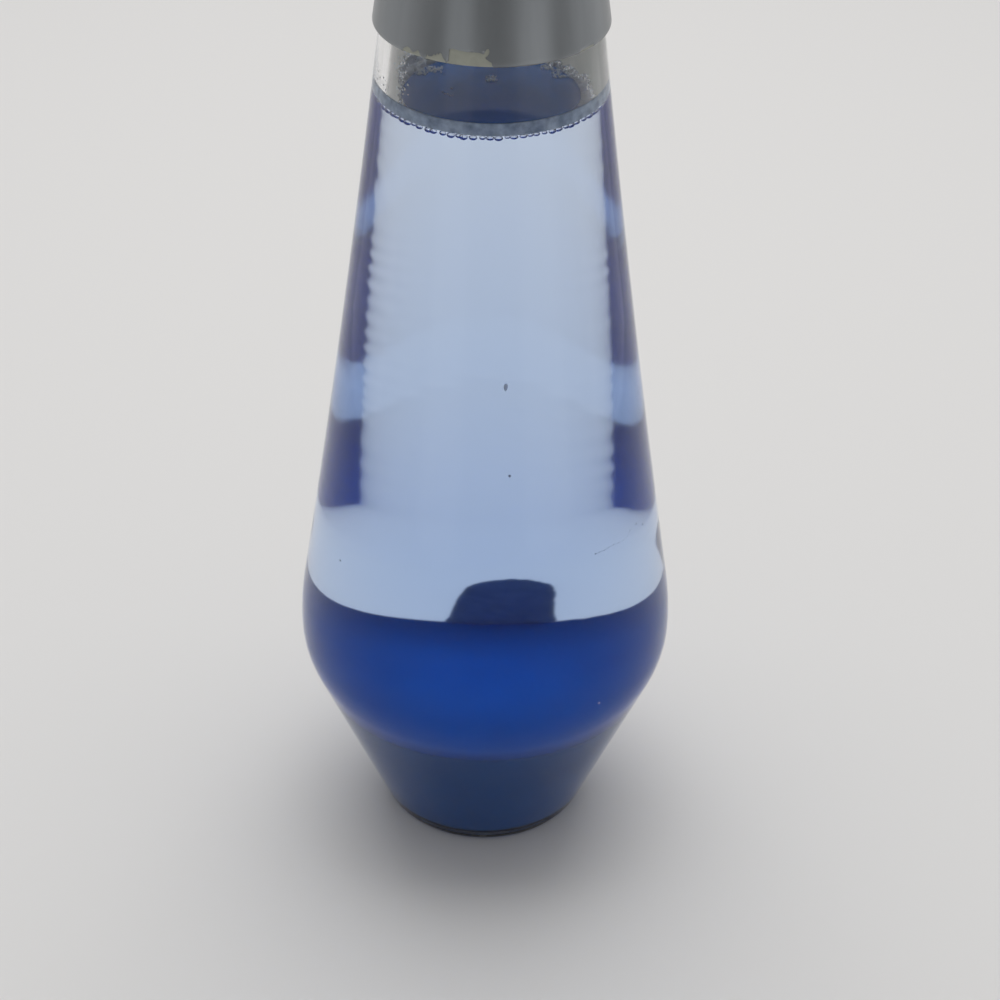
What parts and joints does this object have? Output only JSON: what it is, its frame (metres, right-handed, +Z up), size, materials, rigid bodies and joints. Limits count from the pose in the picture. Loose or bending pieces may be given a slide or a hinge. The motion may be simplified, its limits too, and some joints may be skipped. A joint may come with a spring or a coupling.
{
  "type": "liquid motion lamp globe",
  "caption": "Sealed tapered glass bottle of pale liquid and settled blue wax with a crown closure, under a loose conical painted metal cap that lifts off.",
  "frame": {"origin": "on the ground under the middle of the bottle, on its axis", "axes": "+Z up along the bottle's axis, +Y to the back, where the wax lump clings to the wall"},
  "size_m": [0.0874, 0.0874, 0.25],
  "materials": {
    "clear_glass": "clear, smooth",
    "liquid": "pale blue transparent liquid",
    "wax": "smooth deep blue wax",
    "spring_wire": "drawn wire",
    "liner": "soft sealing liner",
    "tinplate": "lacquered tinplate",
    "cap_paint": "silver-grey paint, chipped to a cream primer at the rim"
  },
  "bodies": {
    "globe": {"glass_globe": "clear_glass", "fluid_fill": "liquid", "wax_pool": "wax", "wax_lump": "wax", "wire_coil": "spring_wire", "crown_liner": "liner", "crown_cap": "tinplate"},
    "cap": {"top_cap": "cap_paint"}
  },
  "joints": [
    {"name": "cap_lift", "type": "slide", "parent": "globe", "child": "cap", "axis": [0, 0, 1], "range_m": [0, 0.06]}
  ]
}
